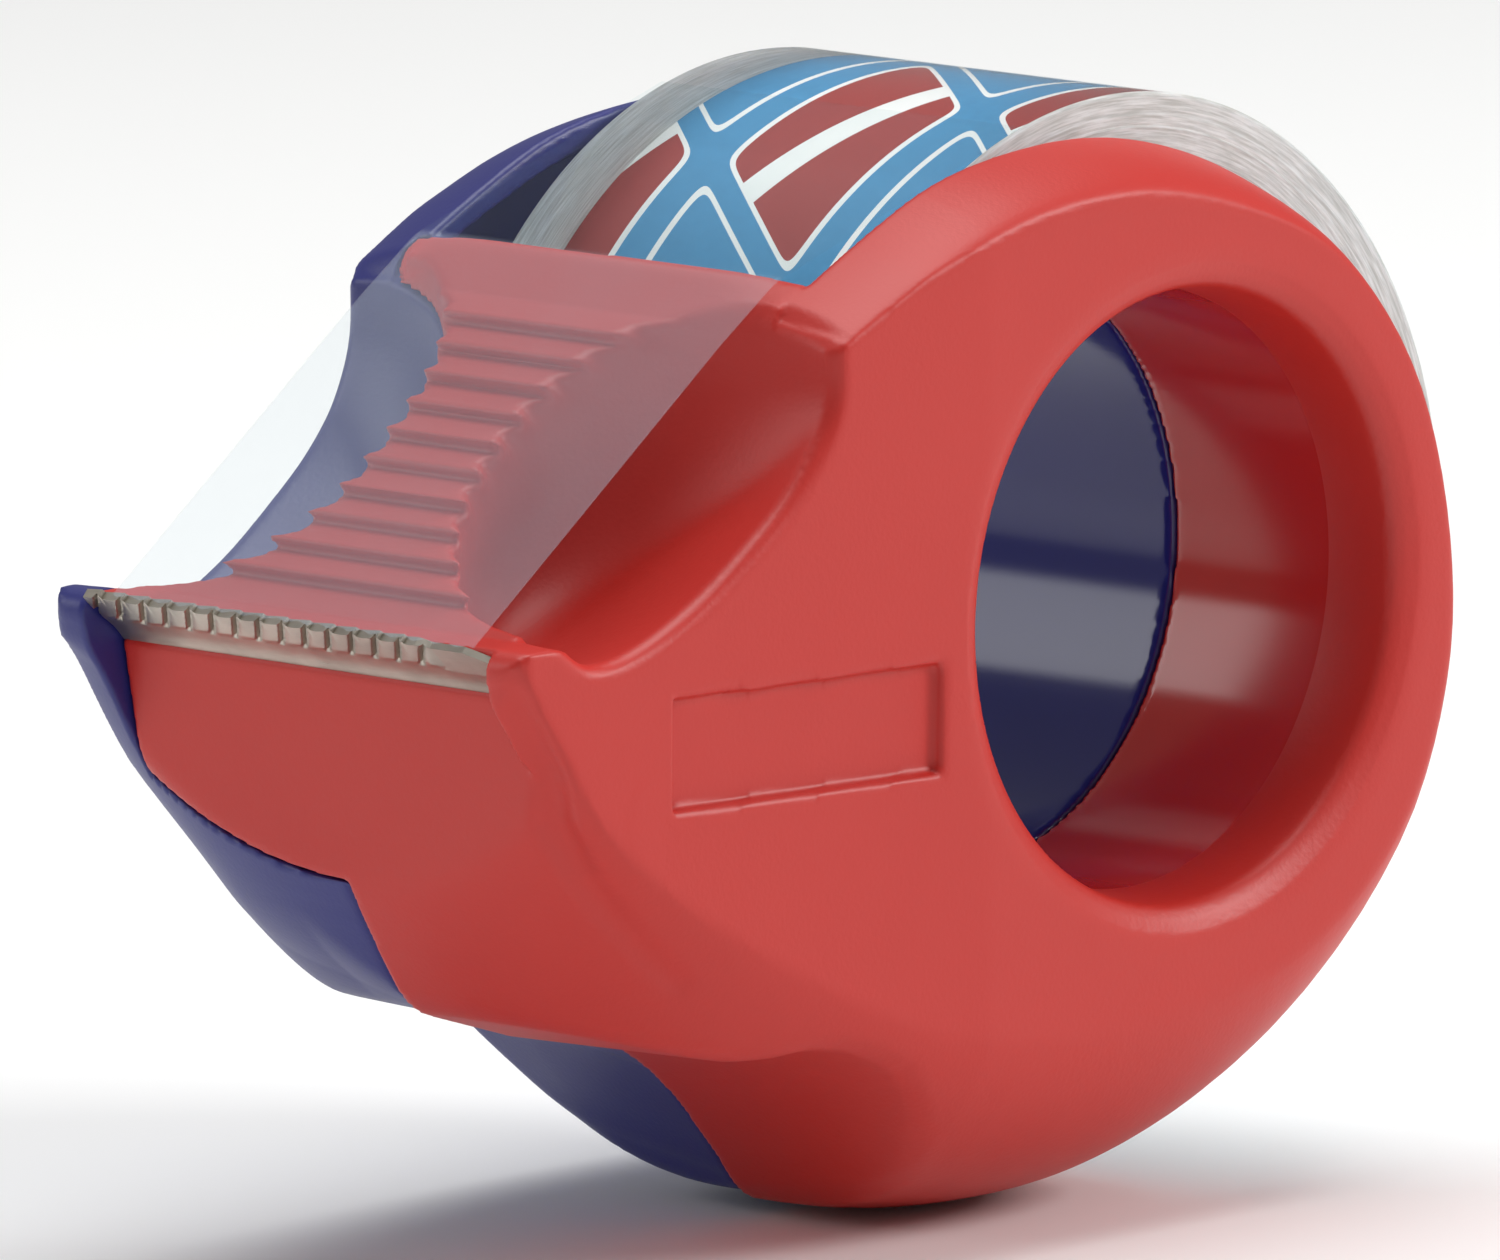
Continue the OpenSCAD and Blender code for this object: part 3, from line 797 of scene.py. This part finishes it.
# --- Free end of the tape --------------------------------------------------------------------
# One layer of clear polypropylene film, peeled off the roll and drawn tight over the guide's
# top edge to the teeth, where the last cut left its end serrated.

LIFT = 0.2
start = math.radians(106.5)
over = GUIDE_TOP + (-LIFT, LIFT)
crest = RIB_START + pitch + rise + (-0.6 * LIFT, 0.6 * LIFT)
tip = BLADE_TIP + (-LIFT, LIFT)
leave = np.array([ROLL_R + 0.06, 0]) @ np.array([[math.cos(start), math.sin(start)],
                                                [-math.sin(start), math.cos(start)]])
path = []
for a, b, count in ((leave, over, 40), (over, crest, 24), (crest, tip, 60)):
    for i in range(count):
        path.append(a + (b - a) * i / count)
path = np.array(path + [tip])
soft = path.copy()
for _ in range(3):
    soft[1:-1] = (soft[:-2] + 2 * soft[1:-1] + soft[2:]) / 4
rows, columns = len(soft), 161
cross = np.linspace(-1, 1, columns)
way = np.linspace(0, 1, rows)[:, None]
film_y = cross[None, :] * TAPE_HALF - 0.9 * np.clip((way - 0.35) / 0.65, 0, 1)
film_x = np.repeat(soft[:, :1], columns, 1)
film_z = np.repeat(soft[:, 1:], columns, 1)
zigzag = 0.35 * np.abs((film_y[-1] / (2 * TAPE_HALF) * TEETH) % 1 - 0.5)
film_x[-1] += zigzag * 0.8
film_z[-1] += zigzag * 0.6
top_points = np.stack([film_x - 0.02, film_y, film_z + 0.03], 2).reshape(-1, 3)
low_points = np.stack([film_x + 0.02, film_y, film_z - 0.03], 2).reshape(-1, 3)
lead = grid_object("free_tape_end", top_points, low_points, rows, columns)
# Single clear film: almost unseen, but for a faint whitish veil, partly haze and partly painted sheen,
# stronger past the guide's top, and the shine along its length
single, tree = material("clear_single_film")
# The veil's bluish white is partly film haze and partly painted sheen
haze_and_painted_sheen = node(tree, "ShaderNodeBsdfPrincipled", {
    "Base Color": linear("#E4ECFA"), "Roughness": 0.08, "IOR": 1.49})
through_it = node(tree, "ShaderNodeBsdfTransparent", {"Color": linear("#FBFDFD")})
place = node(tree, "ShaderNodeTexCoord").outputs["Object"]
smear = node(tree, "ShaderNodeTexNoise", {"Vector": place, "Scale": 1 / (6 * MM), "Detail": 3.0})
part = node(tree, "ShaderNodeSeparateXYZ", {0: place})
# Painted sheen: the whitish veil is mixed in more thickly on the film past the guide's top
sheen_and_haze_past_guide = node(tree, "ShaderNodeMapRange", {
    "Value": part.outputs["X"], "From Min": (GUIDE_TOP[0] + 0.2) * MM,
    "From Max": (GUIDE_TOP[0] - 0.2) * MM, "To Min": 0.015, "To Max": 0.11})
even = node(tree, "ShaderNodeMapRange", {"Value": smear.outputs["Fac"], "To Min": 0.7,
                                         "To Max": 1.0})
share_of = node(tree, "ShaderNodeMath", {0: sheen_and_haze_past_guide.outputs[0], 1: even.outputs[0]},
                operation="MULTIPLY")
mixed = node(tree, "ShaderNodeMixShader", {0: share_of.outputs[0], 1: through_it.outputs[0],
                                           2: haze_and_painted_sheen.outputs[0]})
node(tree, "ShaderNodeOutputMaterial", {"Surface": mixed.outputs[0]})
lead.data.materials.append(single)
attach(lead, "lead")
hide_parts("tape_lead")
